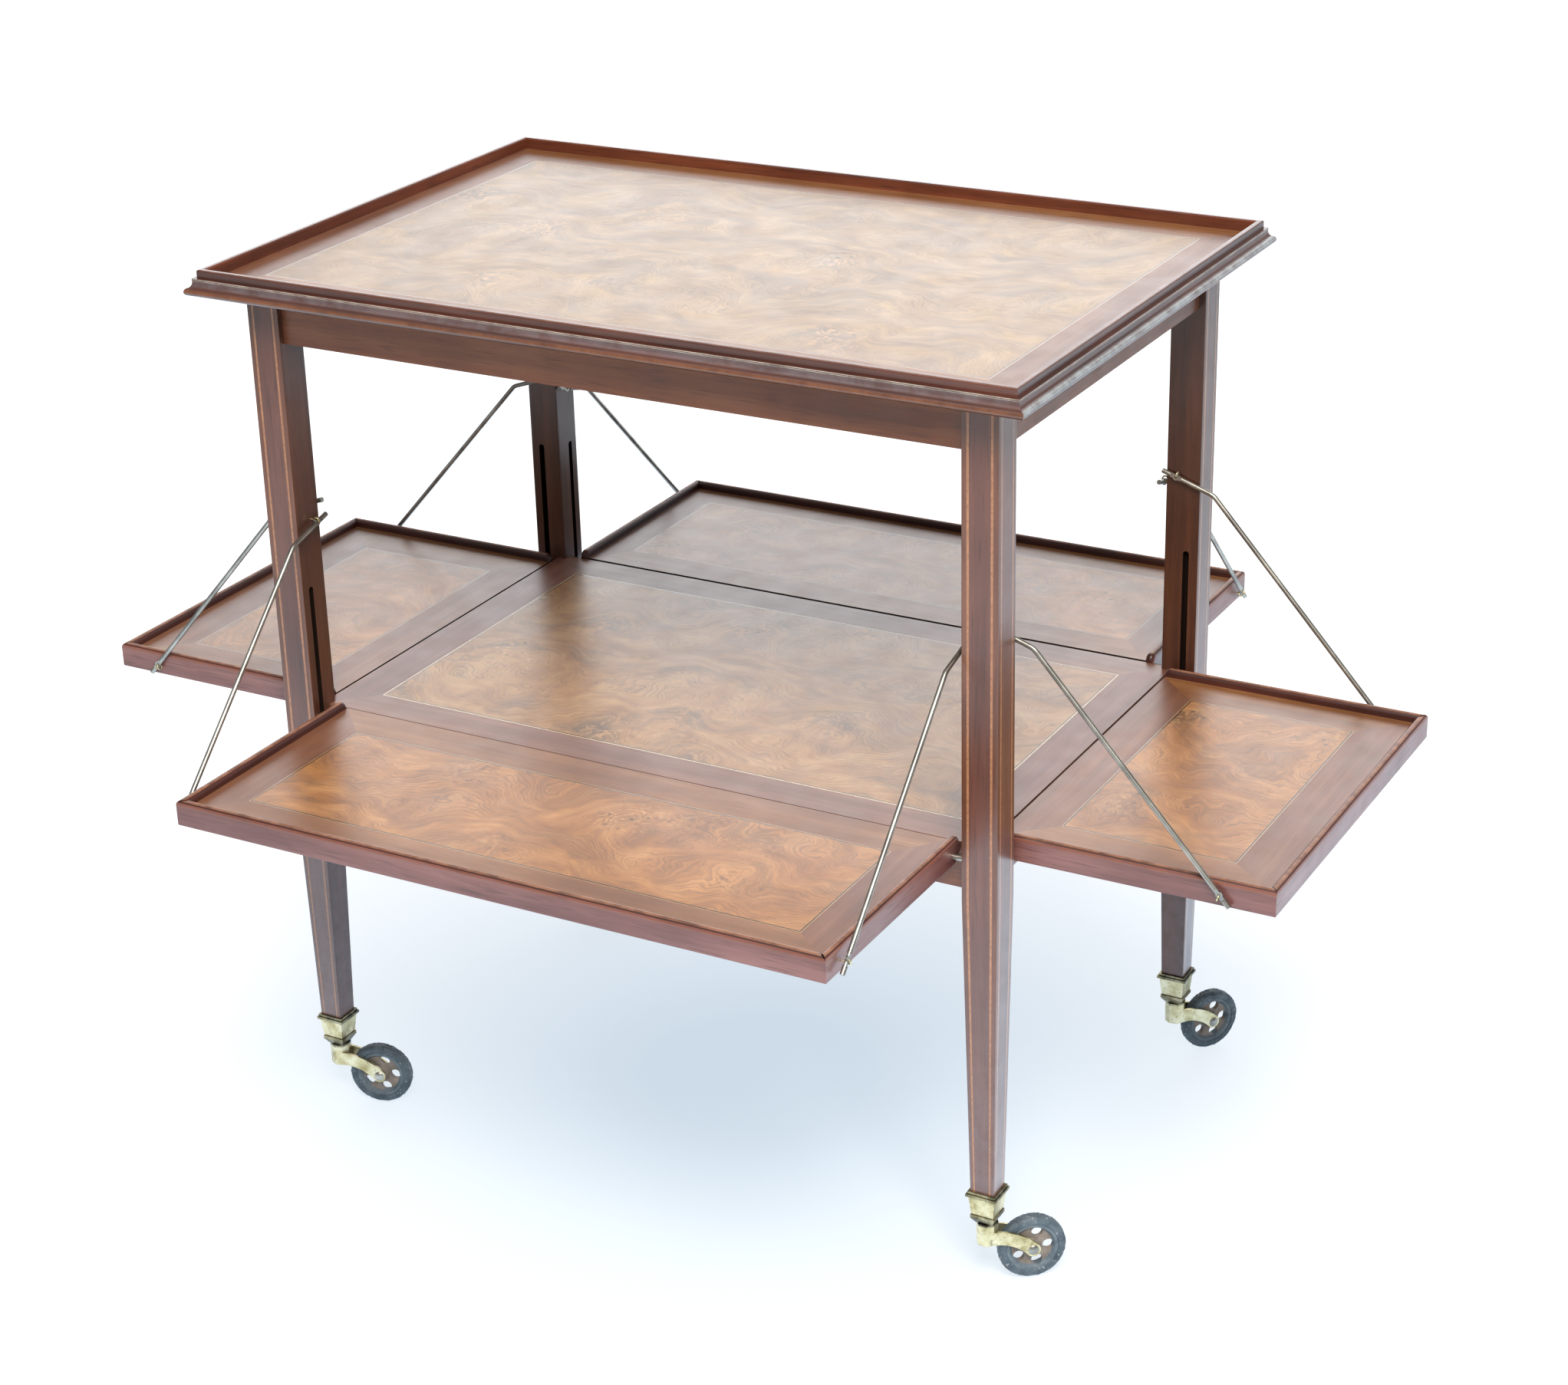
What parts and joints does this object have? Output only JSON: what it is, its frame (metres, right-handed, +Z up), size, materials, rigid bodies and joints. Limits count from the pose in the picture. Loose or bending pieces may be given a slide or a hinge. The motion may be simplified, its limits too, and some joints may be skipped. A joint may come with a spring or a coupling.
{
  "type": "drop leaf tea trolley",
  "caption": "Inlaid wooden tea trolley: a lipped tray on tapered legs, a lower shelf with fold-out leaves held level by bent wire stays, and swivelling brass castors.",
  "frame": {"origin": "on the floor under the middle of the trolley", "axes": "+X along the trolley, +Y to its back, +Z up"},
  "size_m": [1.097, 0.831, 0.7845],
  "materials": {
    "mahogany": "french polished, worn at the edges",
    "burr_veneer": "polished burr veneer, string lines and crossbanding",
    "pine": "bare",
    "aged_brass": "tarnished",
    "steel": "dull bright",
    "hard_rubber": "worn matt"
  },
  "bodies": {
    "frame": {"tray_board": "burr_veneer", "shelf_panel": "burr_veneer", "tray_moulding_front": "mahogany", "apron_front": "mahogany", "shelf_rail_front": "mahogany", "tray_moulding_right": "mahogany", "apron_right": "mahogany", "shelf_rail_right": "mahogany", "tray_moulding_back": "mahogany", "apron_back": "mahogany", "shelf_rail_back": "mahogany", "tray_moulding_left": "mahogany", "apron_left": "mahogany", "shelf_rail_left": "mahogany", "leg_eyes": "aged_brass", "glue_blocks": "pine", "leg_front_left": "mahogany", "castor_cup_front_left": "aged_brass", "leg_front_right": "mahogany", "castor_cup_front_right": "aged_brass", "leg_back_left": "mahogany", "castor_cup_back_left": "aged_brass", "leg_back_right": "mahogany", "castor_cup_back_right": "aged_brass"},
    "pins_front": {"leaf_pins_front": "steel"},
    "leaf_front": {"leaf_panel_front": "burr_veneer", "leaf_lips_front": "mahogany"},
    "stays_front": {"stays_front": "steel", "stay_eyes_front": "aged_brass"},
    "pins_right": {"leaf_pins_right": "steel"},
    "leaf_right": {"leaf_panel_right": "burr_veneer", "leaf_lips_right": "mahogany"},
    "stays_right": {"stays_right": "steel", "stay_eyes_right": "aged_brass"},
    "pins_back": {"leaf_pins_back": "steel"},
    "leaf_back": {"leaf_panel_back": "burr_veneer", "leaf_lips_back": "mahogany"},
    "stays_back": {"stays_back": "steel", "stay_eyes_back": "aged_brass"},
    "pins_left": {"leaf_pins_left": "steel"},
    "leaf_left": {"leaf_panel_left": "burr_veneer", "leaf_lips_left": "mahogany"},
    "stays_left": {"stays_left": "steel", "stay_eyes_left": "aged_brass"},
    "castor_front_left": {"castor_stem_front_left": "steel", "castor_fork_front_left": "aged_brass", "castor_axle_front_left": "steel"},
    "wheel_front_left": {"castor_wheel_front_left": "hard_rubber"},
    "castor_front_right": {"castor_stem_front_right": "steel", "castor_fork_front_right": "aged_brass", "castor_axle_front_right": "steel"},
    "wheel_front_right": {"castor_wheel_front_right": "hard_rubber"},
    "castor_back_left": {"castor_stem_back_left": "steel", "castor_fork_back_left": "aged_brass", "castor_axle_back_left": "steel"},
    "wheel_back_left": {"castor_wheel_back_left": "hard_rubber"},
    "castor_back_right": {"castor_stem_back_right": "steel", "castor_fork_back_right": "aged_brass", "castor_axle_back_right": "steel"},
    "wheel_back_right": {"castor_wheel_back_right": "hard_rubber"}
  },
  "joints": [
    {"name": "front_pins_slide", "type": "slide", "parent": "frame", "child": "pins_front", "axis": [0, 0, 1], "range_m": [0, 0.10271]},
    {"name": "front_leaf_fold", "type": "hinge", "parent": "pins_front", "child": "leaf_front", "pos_m": [0, -0.2045, 0.3842], "axis": [1, 0, 0], "range_deg": [0, 90]},
    {"name": "front_stays_swing", "type": "hinge", "parent": "frame", "child": "stays_front", "pos_m": [0, -0.195, 0.561], "axis": [1, 0, 0], "range_deg": [0, 45.96]},
    {"name": "right_pins_slide", "type": "slide", "parent": "frame", "child": "pins_right", "axis": [0, 0, 1], "range_m": [0, 0.10353]},
    {"name": "right_leaf_fold", "type": "hinge", "parent": "pins_right", "child": "leaf_right", "pos_m": [0.3265, 0, 0.3842], "axis": [0, 1, 0], "range_deg": [0, 90]},
    {"name": "right_stays_swing", "type": "hinge", "parent": "frame", "child": "stays_right", "pos_m": [0.317, 0, 0.572], "axis": [0, 1, 0], "range_deg": [0, 42.69]},
    {"name": "back_pins_slide", "type": "slide", "parent": "frame", "child": "pins_back", "axis": [0, 0, 1], "range_m": [0, 0.10271]},
    {"name": "back_leaf_fold", "type": "hinge", "parent": "pins_back", "child": "leaf_back", "pos_m": [0, 0.2045, 0.3842], "axis": [-1, 0, 0], "range_deg": [0, 90]},
    {"name": "back_stays_swing", "type": "hinge", "parent": "frame", "child": "stays_back", "pos_m": [0, 0.195, 0.561], "axis": [-1, 0, 0], "range_deg": [0, 45.96]},
    {"name": "left_pins_slide", "type": "slide", "parent": "frame", "child": "pins_left", "axis": [0, 0, 1], "range_m": [0, 0.10353]},
    {"name": "left_leaf_fold", "type": "hinge", "parent": "pins_left", "child": "leaf_left", "pos_m": [-0.3265, 0, 0.3842], "axis": [0, -1, 0], "range_deg": [0, 90]},
    {"name": "left_stays_swing", "type": "hinge", "parent": "frame", "child": "stays_left", "pos_m": [-0.317, 0, 0.572], "axis": [0, -1, 0], "range_deg": [0, 42.69]},
    {"name": "front_left_castor_swivel", "type": "hinge", "parent": "frame", "child": "castor_front_left", "pos_m": [-0.3232, -0.2012, 0.058], "axis": [0, 0, 1], "continuous": true},
    {"name": "front_left_wheel_roll", "type": "hinge", "parent": "castor_front_left", "child": "wheel_front_left", "pos_m": [-0.28782, -0.19038, 0.029], "axis": [-0.2924, 0.9563, 0], "continuous": true},
    {"name": "front_right_castor_swivel", "type": "hinge", "parent": "frame", "child": "castor_front_right", "pos_m": [0.3232, -0.2012, 0.058], "axis": [0, 0, 1], "continuous": true},
    {"name": "front_right_wheel_roll", "type": "hinge", "parent": "castor_front_right", "child": "wheel_front_right", "pos_m": [0.35195, -0.17792, 0.029], "axis": [-0.6293, 0.7771, 0], "continuous": true},
    {"name": "back_left_castor_swivel", "type": "hinge", "parent": "frame", "child": "castor_back_left", "pos_m": [-0.3232, 0.2012, 0.058], "axis": [0, 0, 1], "continuous": true},
    {"name": "back_left_wheel_roll", "type": "hinge", "parent": "castor_back_left", "child": "wheel_back_left", "pos_m": [-0.29053, 0.21857, 0.029], "axis": [-0.4695, 0.8829, 0], "continuous": true},
    {"name": "back_right_castor_swivel", "type": "hinge", "parent": "frame", "child": "castor_back_right", "pos_m": [0.3232, 0.2012, 0.058], "axis": [0, 0, 1], "continuous": true},
    {"name": "back_right_wheel_roll", "type": "hinge", "parent": "castor_back_right", "child": "wheel_back_right", "pos_m": [0.34442, 0.23151, 0.029], "axis": [-0.8192, 0.5736, 0], "continuous": true}
  ],
  "couplings": [
    {"joint": "front_pins_slide", "follows": "front_leaf_fold", "m_per_rad": 0.065384},
    {"joint": "front_stays_swing", "follows": "front_leaf_fold", "ratio": 0.51062},
    {"joint": "right_pins_slide", "follows": "right_leaf_fold", "m_per_rad": 0.065907},
    {"joint": "right_stays_swing", "follows": "right_leaf_fold", "ratio": 0.47433},
    {"joint": "back_pins_slide", "follows": "back_leaf_fold", "m_per_rad": 0.065384},
    {"joint": "back_stays_swing", "follows": "back_leaf_fold", "ratio": 0.51062},
    {"joint": "left_pins_slide", "follows": "left_leaf_fold", "m_per_rad": 0.065907},
    {"joint": "left_stays_swing", "follows": "left_leaf_fold", "ratio": 0.47433}
  ]
}
